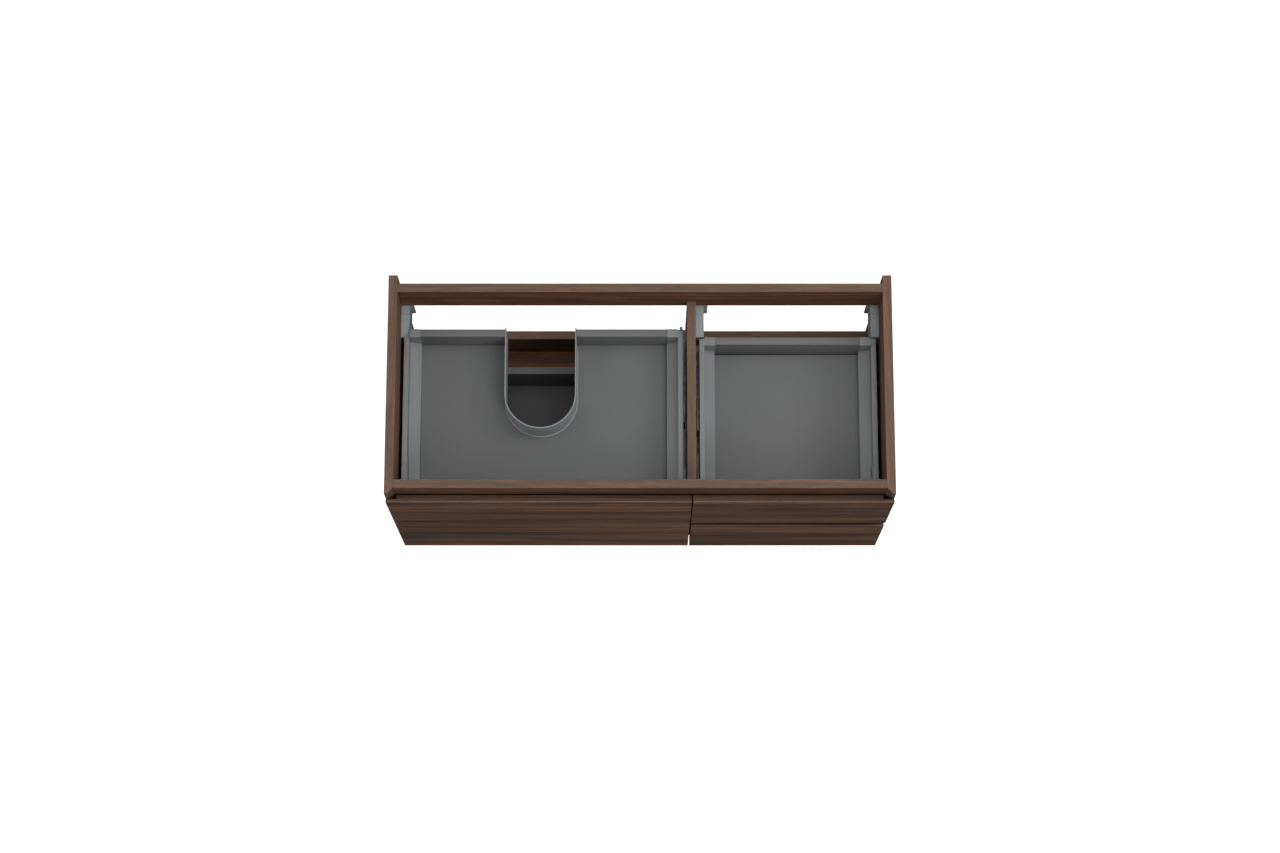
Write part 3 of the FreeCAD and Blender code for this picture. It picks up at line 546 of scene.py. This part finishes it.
def screw_tree():
    """Cross-recessed screws on points: each points along its own Way attribute. A screw's head
    stands on height 0, with its shank below."""
    name = "cross recessed screws"
    if name in bpy.data.node_groups:
        return bpy.data.node_groups[name]
    tree, given = new_tree(name, (
        ("Head Radius", "NodeSocketFloat", 0.004), ("Head Height", "NodeSocketFloat", 0.0012),
        ("Shank Radius", "NodeSocketFloat", 0.002), ("Shank Length", "NodeSocketFloat", 0.009),
        ("Recess Width", "NodeSocketFloat", 0.001), ("Recess Depth", "NodeSocketFloat", 0.0008)))

    radius, height, shank = given["Head Radius"], given["Head Height"], given["Shank Length"]
    depth, wide = given["Recess Depth"], given["Recess Width"]
    # each measure is a share of an input and something on top
    measures = (add(tree, "ShaderNodeMath", {0: source, 1: share, 2: extra}, operation="MULTIPLY_ADD")
                for source, share, extra in (
                    (shank, 1.0, 0.0001), (shank, -0.5, 0.00005), (height, 0.62, 0.0), (height, 0.31, 0.0),
                    (radius, 0.86, 0.0), (height, 0.5, 0.0), (radius, 1.15, 0.0), (depth, 3.0, 0.0),
                    (depth, 0.5, height)))
    stem, stem_middle, brim, brim_middle, crown, head_middle, arm, cut, cut_middle = measures
    shapes = [(add(tree, "GeometryNodeMeshCylinder", {"Vertices": steps, "Radius": reach, "Depth": tall}),
               middle) for reach, tall, middle, steps in (
                   (radius, brim, brim_middle, 28), (crown, height, head_middle, 28),
                   (given["Shank Radius"], stem, stem_middle, 16))]
    shapes += [(add(tree, "GeometryNodeMeshCube", {
        "Size": add(tree, "ShaderNodeCombineXYZ", {"X": x, "Y": y, "Z": cut})}), cut_middle)
        for x, y in ((arm, wide), (wide, arm))]
    lifted = [add(tree, "GeometryNodeTransform", {
        "Geometry": shape, "Translation": add(tree, "ShaderNodeCombineXYZ", {"Z": level})})
        for shape, level in shapes]
    whole = add(tree, "GeometryNodeMeshBoolean", {"Mesh 2": lifted[:3]}, operation="UNION", solver="EXACT")
    recessed = add(tree, "GeometryNodeMeshBoolean", {"Mesh 1": whole, "Mesh 2": lifted[3:]},
                   operation="DIFFERENCE", solver="EXACT")
    way = add(tree, "GeometryNodeInputNamedAttribute", {"Name": "Way"}, data_type="FLOAT_VECTOR")
    turn = add(tree, "FunctionNodeAlignRotationToVector", {"Vector": way}, axis="Z")
    placed = add(tree, "GeometryNodeInstanceOnPoints", {
        "Points": given["Geometry"], "Instance": recessed.outputs["Mesh"], "Rotation": turn})
    close_tree(tree, given, placed)
    return tree


def roller_tree():
    """Rows of bearing rollers that lie along X, one row from each point in direction Y."""
    name = "bearing rollers"
    if name in bpy.data.node_groups:
        return bpy.data.node_groups[name]
    tree, given = new_tree(name, (
        ("Count", "NodeSocketInt", 3), ("Pitch", "NodeSocketFloat", 0.02),
        ("Radius", "NodeSocketFloat", 0.0018), ("Length", "NodeSocketFloat", 0.006),
        ("Edge", "NodeSocketFloat", 0.0004)))
    radius, long, edge = given["Radius"], given["Length"], given["Edge"]
    short = add(tree, "ShaderNodeMath", {0: edge, 1: -2.0, 2: long}, operation="MULTIPLY_ADD")
    slim = add(tree, "ShaderNodeMath", {0: radius, 1: edge}, operation="SUBTRACT")
    # a barrel inside a longer, slimmer one gives the roller its shoulders
    barrels = [add(tree, "GeometryNodeMeshCylinder", {"Vertices": 20, "Radius": reach, "Depth": depth})
               .outputs["Mesh"] for reach, depth in ((radius, short), (slim, long))]
    whole = add(tree, "GeometryNodeMeshBoolean", {"Mesh 2": barrels}, operation="UNION", solver="EXACT")
    lying = add(tree, "GeometryNodeTransform", {"Geometry": whole.outputs["Mesh"],
                                                "Rotation": (0.0, math.radians(90), 0.0)})
    step = add(tree, "ShaderNodeCombineXYZ", {"Y": given["Pitch"]})
    line = add(tree, "GeometryNodeMeshLine", {"Count": given["Count"], "Offset": step})
    row = add(tree, "GeometryNodeInstanceOnPoints", {"Points": line, "Instance": lying})
    rows = add(tree, "GeometryNodeInstanceOnPoints", {"Points": given["Geometry"], "Instance": row})
    close_tree(tree, given, rows)
    return tree


def slot_tree():
    """A row of oblong holes, along Y and through X, punched out of a sheet."""
    name = "punched slots"
    if name in bpy.data.node_groups:
        return bpy.data.node_groups[name]
    tree, given = new_tree(name, (
        ("Count", "NodeSocketInt", 8), ("Pitch", "NodeSocketFloat", 0.032),
        ("Length", "NodeSocketFloat", 0.009), ("Width", "NodeSocketFloat", 0.004),
        ("Through", "NodeSocketFloat", 0.006), ("Start", "NodeSocketVector", (0.0, 0.0, 0.0))))
    wide = given["Width"]
    straight = add(tree, "ShaderNodeMath", {0: given["Length"], 1: wide}, operation="SUBTRACT")
    half = add(tree, "ShaderNodeMath", {0: wide, 1: 0.5}, operation="MULTIPLY")
    size = add(tree, "ShaderNodeCombineXYZ", {"X": given["Through"], "Y": straight, "Z": wide})
    shapes = [add(tree, "GeometryNodeMeshCube", {"Size": size})]
    for side in (-0.5, 0.5):
        end = add(tree, "GeometryNodeMeshCylinder", {"Vertices": 20, "Depth": given["Through"],
                                                     "Radius": half})
        shift = add(tree, "ShaderNodeMath", {0: straight, 1: side}, operation="MULTIPLY")
        shapes.append(add(tree, "GeometryNodeTransform", {
            "Geometry": end, "Translation": add(tree, "ShaderNodeCombineXYZ", {"Y": shift}),
            "Rotation": (0.0, math.radians(90), 0.0)}))
    punch = add(tree, "GeometryNodeMeshBoolean", {"Mesh 2": shapes}, operation="UNION", solver="EXACT")
    step = add(tree, "ShaderNodeCombineXYZ", {"Y": given["Pitch"]})
    line = add(tree, "GeometryNodeMeshLine", {"Count": given["Count"], "Start Location": given["Start"],
                                              "Offset": step})
    row = add(tree, "GeometryNodeInstanceOnPoints", {"Points": line, "Instance": punch.outputs["Mesh"]})
    cutters = add(tree, "GeometryNodeRealizeInstances", {"Geometry": row})
    cut = add(tree, "GeometryNodeMeshBoolean", {"Mesh 1": given["Geometry"], "Mesh 2": cutters},
              operation="DIFFERENCE", solver="EXACT")
    close_tree(tree, given, cut.outputs["Mesh"])
    return tree


def point_object(name, points, ways=None):
    """A mesh of loose points, each with the direction its instance faces."""
    mesh = bpy.data.meshes.new(name)
    mesh.from_pydata([tuple(p) for p in points], [], [])
    if ways:
        attribute = mesh.attributes.new("Way", "FLOAT_VECTOR", "POINT")
        attribute.data.foreach_set("vector", [c for way in ways for c in way])
    return new_object(name, mesh)


def screws(name, points, ways, head, height, shank, long, material, recess=None):
    """Screws on points; head and shank are radii."""
    piece = point_object(name, points, ways)
    return run_tree(piece, screw_tree(), {
        "Head Radius": head, "Head Height": height, "Shank Radius": shank, "Shank Length": long,
        "Recess Width": recess or sizes().recess_wide, "Recess Depth": height * 0.7, "Material": material})


def join(name, pieces):
    """Several plain pieces as one, with the first one's name changed."""
    bm, materials = bmesh.new(), []
    for piece in pieces:
        base, first = len(materials), len(bm.faces)
        materials += list(piece.data.materials)
        bm.from_mesh(piece.data)
        bm.faces.ensure_lookup_table()
        for face in bm.faces[first:]:
            face.material_index += base
        bpy.data.objects.remove(piece)
    mesh = bpy.data.meshes.new(name)
    bm.to_mesh(mesh)
    bm.free()
    for material in materials:
        mesh.materials.append(material)
    return new_object(name, mesh)


# Operators ----

class VANITY_OT_carcass(bpy.types.Operator):
    """Veneered boards of the carcass, drilled for their cams"""
    bl_idname = "vanity.carcass"
    bl_label = "Carcass boards"

    def execute(self, context):
        size = sizes()
        cams = lumps("carcass_cams")
        # board, axis of its thickness, axis of its grain, place on the veneer in metres
        boards = (("left_side_panel", "X", "Y", (0.3, 1.1, 0.2)),
                  ("right_side_panel", "X", "Y", (1.7, 0.4, 0.9)),
                  ("partition_panel", "X", "Y", (2.6, 0.2, 1.4)),
                  ("front_top_rail", "Y", "X", (0.6, 2.3, 0.7)),
                  ("back_top_rail", "Y", "X", (3.1, 1.6, 0.1)),
                  ("back_bottom_rail", "Y", "X", (0.9, 3.3, 2.2)),
                  ("bottom_panel", "Z", "X", (2.2, 0.8, 3.4)))
        straight = 0.45
        for node, thickness, grain, shift in boards:
            low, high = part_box(node)
            bm = bmesh.new()
            if node.endswith("side_panel"):
                way = 1 if high.x > 0 else -1
                outer, inner = (high.x, low.x) if way > 0 else (low.x, high.x)
                bevel = (high.x - low.x) - size.panel_flat
                add_prism(bm, [(outer, high.y), (inner, high.y), (inner, low.y + bevel),
                               (outer - way * size.panel_flat, low.y), (outer, low.y)], "Z", low.z, high.z)
            else:
                add_box(bm, low, high)
            tones = "walnut" if node.endswith("side_panel") else "board"
            veneer = walnut_veneer(node.replace("_", " ") + " walnut veneer", grain, shift, straight, tones)
            piece = mesh_object(node + "_board", bm, veneer)
            pockets = bmesh.new()
            for cam_low, cam_high in cams:
                if all(cam_low[i] > low[i] - MM and cam_high[i] < high[i] + MM for i in range(3)):
                    middle, radius = (cam_low + cam_high) / 2, (cam_high.x - cam_low.x) / 2
                    if node == "bottom_panel":
                        add_cylinder(pockets, "Z", (middle.x, middle.y), cam_low.z - MM, cam_high.z, radius)
                    else:
                        add_cylinder(pockets, "Y", (middle.x, middle.z), cam_low.y, cam_high.y + MM, radius)
            if len(pockets.verts):
                drill(piece, pockets)
            band_edges(piece, thickness)
            claim(round_edges(piece, size.board_round), node)
        return {"FINISHED"}


class VANITY_OT_fronts(bpy.types.Operator):
    """Drawer fronts with a grip bevel, cut from one run of veneer"""
    bl_idname = "vanity.fronts"
    bl_label = "Drawer fronts"

    def execute(self, context):
        straight = 0.85
        for name, shift in (("left", (0.9, 0.3, 0.21)), ("upper", (1.9, 0.5, 0.55)),
                            ("lower", (1.9, 0.5, 0.55))):
            node = name + "_drawer_front"
            piece = mesh_object(node + "_board", clean_copy(node),
                                walnut_veneer(name + " front walnut veneer", "X", shift, straight))
            band_edges(piece, "Y")
            claim(round_edges(piece, sizes().front_round), node)
        return {"FINISHED"}


class VANITY_OT_drawer_boards(bpy.types.Operator):
    """Grey bottoms and backs of the drawers"""
    bl_idname = "vanity.drawer_boards"
    bl_label = "Drawer bottoms and backs"

    def execute(self, context):
        for node in sorted(frame["nodes"]):
            if not (node.endswith("_drawer_bottom") or "_drawer_back" in node):
                continue
            piece = mesh_object(node + "_board", clean_copy(node), finish_for("drawer_board"))
            if node == "upper_drawer_bottom":
                # an open joint in front of the back
                (low, high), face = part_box(node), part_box("upper_drawer_back")[0].y
                joint = bmesh.new()
                add_box(joint, (low.x - MM, face - sizes().back_gap, high.z - sizes().back_gap_deep),
                        (high.x + MM, face, high.z + MM))
                drill(piece, joint)
            # the bottoms stay nearly sharp where they meet the sides
            width = sizes().board_round * (0.3 if node.endswith("bottom") else 1)
            claim(round_edges(piece, width, angle=40), node)
        return {"FINISHED"}


class VANITY_OT_drawer_sides(bpy.types.Operator):
    """Folded steel drawer sides and the inner drawer's front"""
    bl_idname = "vanity.drawer_sides"
    bl_label = "Drawer sides"

    def execute(self, context):
        nodes = [f"{d}_drawer_side_{hand}" for d in DRAWERS for hand in ("left", "right")]
        for node in nodes + ["inner_drawer_front"]:
            finish_copy(node, "_sheet", "drawer_metal", sizes().sheet_round)
        return {"FINISHED"}


class VANITY_OT_siphon_collar(bpy.types.Operator):
    """Collar round the siphon cut-out, with a rolled rim and a flange"""
    bl_idname = "vanity.siphon_collar"
    bl_label = "Siphon collar"

    def execute(self, context):
        coat = powder_coat("powder coated collar", finishes().collar_grey)
        piece = mesh_object("siphon_collar_ring", clean_copy("siphon_collar"), coat)
        claim(round_edges(piece, sizes().collar_round, angle=50), "siphon_collar")
        return {"FINISHED"}


class VANITY_OT_fittings(bpy.types.Operator):
    """Corner brackets, cover caps and front fixings"""
    bl_idname = "vanity.fittings"
    bl_label = "Drawer fittings"

    def execute(self, context):
        for drawer in DRAWERS:
            for piece, ending, slot_name in (("corner_brackets", "_cast", "bracket_metal"),
                                             ("cover_caps", "_shells", "cap_plastic"),
                                             ("front_fixings", "_cast", "zinc")):
                finish_copy(f"{drawer}_drawer_{piece}", ending, slot_name, sizes().moulded_round)
        return {"FINISHED"}


def one_rail(node, number):
    """One of a node's two rails, as a mesh of its own."""
    low, high = lumps(node)[number]
    source = clean_copy(node)
    bmesh.ops.delete(source, geom=[v for v in source.verts
                                   if not low.x - MM < v.co.x < high.x + MM], context="VERTS")
    return source


class VANITY_OT_runners(bpy.types.Operator):
    """Full-extension runners: punched cabinet rails, middle rails with rollers, drawer rails"""
    bl_idname = "vanity.runners"
    bl_label = "Runners"

    def execute(self, context):
        size = sizes()
        steel = finish_for("runner_steel")
        for name in DRAWERS:
            self.cabinet_rails(name + "_cabinet_rails", size, steel)
            self.middle_rails(name + "_middle_rails", size, steel)
            finish_copy(name + "_drawer_drawer_rails", "_sheet", "runner_steel", size.sheet_round)
        return {"FINISHED"}

    def cabinet_rails(self, node, size, steel):
        punched = []
        # the row of oblong holes: length left whole, first hole off the front end, height above the foot
        whole_length, first, level = 30 * MM, 18 * MM, 21.5 * MM
        for number, (low, high) in enumerate(lumps(node)):
            piece = mesh_object(f"{node}_{number}", one_rail(node, number), steel)
            wall = low.x if number == 0 else high.x
            count = int((high.y - low.y - whole_length) / size.slot_pitch)
            punched.append(run_tree(piece, slot_tree(), {
                "Count": count, "Pitch": size.slot_pitch, "Length": size.slot_long, "Width": size.slot_wide,
                "Start": (wall, low.y + first, low.z + level), "Material": steel}))
        whole = join(node + "_sheet", punched)
        claim(round_edges(whole, size.sheet_round * 0.8, segments=2), node)

    def middle_rails(self, node, size, steel):
        longest_roller, roller_count, row_end = 100 * MM, 15, 20 * MM
        solids = lumps(node)
        rails = [b for b in solids if b[1].y - b[0].y > longest_roller]
        rollers = [b for b in solids if b[1].y - b[0].y <= longest_roller]
        bm = bmesh.new()
        t = size.rail_sheet
        for low, high in rails:
            skirt = high.z - t
            add_prism(bm, [(low.x, low.z), (low.x + t, low.z), (low.x + t, skirt), (high.x - t, skirt),
                           (high.x - t, low.z), (high.x, low.z), (high.x, high.z), (low.x, high.z)],
                      "Y", low.y, high.y)
        channel = plain(round_edges(mesh_object(node + "_channel", bm, steel), size.sheet_round))
        # each modelled roller is the first, middle or last of a caged row
        firsts = {}
        for low, high in rollers:
            middle = (low + high) / 2
            key = (round(middle.x, 4), round(middle.z, 4))
            if key not in firsts or middle.y < firsts[key].y:
                firsts[key] = middle
        low, high = rollers[0]
        run = rails[0][1].y - rails[0][0].y - 2 * row_end
        rows = run_tree(point_object(node + "_rollers", firsts.values()), roller_tree(), {
            "Count": roller_count, "Pitch": run / (roller_count - 1), "Radius": (high.z - low.z) / 2,
            "Length": high.x - low.x, "Edge": size.roller_round, "Material": finish_for("roller")})
        claim(join(node + "_set", [channel, rows]), node)


class VANITY_OT_hangers(bpy.types.Operator):
    """Wall hangers: housings, adjusting screws and hooks"""
    bl_idname = "vanity.hangers"
    bl_label = "Wall hangers"

    def execute(self, context):
        size = sizes()
        # a shallow window on each open side, and a pocket round each adjusting screw's head
        window_deep, window_end, window_foot, window_top = 1.2 * MM, 7 * MM, 9 * MM, 14 * MM
        pocket_deep, pocket_radius = 2.2 * MM, 4 * MM
        head, head_high, shank, shank_long, recess = 3.5 * MM, 1.4 * MM, 1.7 * MM, 20 * MM, 1.3 * MM
        bm = bmesh.new()
        pockets = bmesh.new()
        for low, high in lumps("hanger_housings"):
            add_box(bm, low, high)
            inward = low.x if high.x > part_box("right_side_panel")[0].x - MM else high.x
            add_box(pockets, (inward - window_deep, low.y + window_end, low.z + window_foot),
                    (inward + window_deep, high.y - window_end, high.z - window_top))
        points, ways = [], []
        for low, high in lumps("hanger_screws"):
            middle = (low + high) / 2
            add_cylinder(pockets, "Y", (middle.x, middle.z), low.y - MM, low.y + pocket_deep,
                         pocket_radius, 28)
            points.append((middle.x, low.y + head_high, middle.z))
            ways.append((0, -1, 0))
        piece = drill(mesh_object("hanger_housings_cast", bm, finish_for("hanger_metal")), pockets)
        claim(round_edges(piece, size.moulded_round, segments=2), "hanger_housings")
        finish_copy("hanger_hooks", "_cast", "hanger_metal", size.moulded_round)
        piece = screws("hanger_screws_set", points, ways, head, head_high, shank, shank_long,
                       finish_for("screw_steel"), recess)
        claim(piece, "hanger_screws")
        return {"FINISHED"}


class VANITY_OT_fasteners(bpy.types.Operator):
    """Cams, runner screws and the hidden dowels and bolts"""
    bl_idname = "vanity.fasteners"
    bl_label = "Fasteners"

    def execute(self, context):
        size = sizes()
        # a cam: disc, air round the disc and round the body, body short of the bore's end, recess
        disc, disc_air, body_air, body_short, recess = 1.5 * MM, 0.1 * MM, 0.6 * MM, 2.5 * MM, 2.2 * MM
        points, ways = [], []
        cams = lumps("carcass_cams")
        for low, high in cams:
            middle = (low + high) / 2
            if middle.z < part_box("bottom_panel")[1].z:
                points.append((middle.x, middle.y, low.z + size.cam_seat + disc))
                ways.append((0, 0, -1))
            else:
                points.append((middle.x, high.y - size.cam_seat - disc, middle.z))
                ways.append((0, 1, 0))
        low, high = cams[-1]
        radius, depth = (high.x - low.x) / 2, min(high.z - low.z, high.y - low.y)
        piece = screws("carcass_cams_set", points, ways, radius - disc_air, disc, radius - body_air,
                       depth - body_short, finish_for("zinc"), recess)
        claim(piece, "carcass_cams")

        head, head_high, shank, shank_long = 4 * MM, 1.2 * MM, 2 * MM, 9.5 * MM
        points, ways = [], []
        walls = [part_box(n)[k].x for n, k in (("left_side_panel", 1), ("partition_panel", 0),
                                             ("partition_panel", 1), ("right_side_panel", 0))]
        for low, high in lumps("runner_screws"):
            middle = (low + high) / 2
            facing = min(walls, key=lambda wall: min(abs(low.x - wall), abs(high.x - wall)))
            way = 1 if walls.index(facing) in (0, 2) else -1
            points.append((facing + way * size.rail_sheet, middle.y, middle.z))
            ways.append((way, 0, 0))
        piece = screws("runner_screws_set", points, ways, head, head_high, shank, shank_long,
                       finish_for("screw_steel"))
        claim(piece, "runner_screws")

        for node, slot_name in (("carcass_dowels", "beech"), ("carcass_bolts", "screw_steel")):
            mesh = frame["nodes"][node].data
            for index in range(len(mesh.materials)):
                mesh.materials[index] = finish_for(slot_name)
        return {"FINISHED"}


class VANITY_OT_stage(bpy.types.Operator):
    """Pale floor, soft studio light and the camera"""
    bl_idname = "vanity.stage"
    bl_label = "Stage"

    def execute(self, context):
        scene, studio = context.scene, context.scene.vanity_studio
        bm = bmesh.new()
        bmesh.ops.create_circle(bm, cap_ends=True, segments=96, radius=studio.floor_size)
        bmesh.ops.translate(bm, vec=(0, 0, -studio.floor_drop), verts=bm.verts)
        floor = mesh_object("floor", bm, studio_white("opal acrylic floor", finishes().floor_white,
                                                      studio.floor_glow))
        # the floor keeps its glow to itself: it neither lights nor mirrors in the pieces
        floor.visible_diffuse = floor.visible_glossy = False

        world = bpy.data.worlds.new("soft dome")
        scene.world = world
        world.use_nodes = True
        tree = world.node_tree
        way = add(tree, "ShaderNodeSeparateXYZ", {0: add(tree, "ShaderNodeTexCoord").outputs["Generated"]})
        level = add(tree, "ShaderNodeMapRange", {
            "Value": way.outputs["Z"], "From Min": -0.08, "From Max": 0.08,
            "To Min": studio.under_strength, "To Max": studio.dome_strength})
        tree.nodes["Background"].inputs["Color"].default_value = (1, 1, 1, 1)
        tree.links.new(level.outputs[0], tree.nodes["Background"].inputs["Strength"])

        # each soft box: name, place and width in metres, power; all face the cabinet's middle
        target = Vector((0, -0.25, -0.2))
        for name, place, size, power in (("top soft box", (0.5, -0.5, 3.6), 2.6, studio.top_power),
                                         ("key soft box", (3.0, 0.2, 3.0), 1.3, studio.key_power),
                                         ("fill soft box", (1.2, -2.6, 2.6), 1.6, studio.fill_power),
                                         ("side soft box", (-2.6, -0.6, 1.9), 1.6, studio.side_power)):
            light = bpy.data.lights.new(name, "AREA")
            light.shape = "SQUARE"
            light.size = size
            light.energy = power
            lamp = new_object(name, light)
            lamp.location = place
            lamp.rotation_euler = (target - lamp.location).to_track_quat("-Z", "Y").to_euler()
            lamp.visible_camera = False

        lens = bpy.data.cameras.new("camera")
        lens.lens = studio.camera_lens
        lens.sensor_width = 36
        lens.clip_end = 120
        camera = new_object("camera", lens)
        camera.location = (0, -studio.camera_fore, studio.camera_height)
        camera.rotation_euler = (studio.camera_tilt, 0, 0)
        scene.camera = camera
        scene.view_settings.view_transform = "Standard"
        return {"FINISHED"}


class VANITY_PT_panel(bpy.types.Panel):
    """Lists the pieces of the cabinet"""
    bl_idname = "VANITY_PT_panel"
    bl_label = "Vanity cabinet"
    bl_space_type = "VIEW_3D"
    bl_region_type = "UI"
    bl_category = "Vanity"

    def draw(self, context):
        for operator in OPERATORS:
            self.layout.operator(operator.bl_idname)
        for group, _ in GROUPS:
            values = getattr(context.scene, group)
            box = self.layout.box()
            for name in values.__annotations__:
                box.prop(values, name)


OPERATORS = (VANITY_OT_carcass, VANITY_OT_fronts, VANITY_OT_drawer_boards, VANITY_OT_drawer_sides,
             VANITY_OT_siphon_collar, VANITY_OT_fittings, VANITY_OT_runners, VANITY_OT_hangers,
             VANITY_OT_fasteners, VANITY_OT_stage)
GROUPS = (("vanity_sizes", VanitySizes), ("vanity_finishes", VanityFinishes),
          ("vanity_studio", VanityStudio))


def register():
    for name, group in GROUPS:
        bpy.utils.register_class(group)
        setattr(bpy.types.Scene, name, bpy.props.PointerProperty(type=group))
    for item in OPERATORS + (VANITY_PT_panel,):
        bpy.utils.register_class(item)


def unregister():
    for item in (VANITY_PT_panel,) + OPERATORS[::-1]:
        bpy.utils.unregister_class(item)
    for name, group in GROUPS:
        delattr(bpy.types.Scene, name)
        bpy.utils.unregister_class(group)


def main():
    register()
    for operator in OPERATORS:
        family, name = operator.bl_idname.split(".")
        getattr(getattr(bpy.ops, family), name)()
    bpy.context.view_layer.update()


if __name__ == "__main__":
    main()
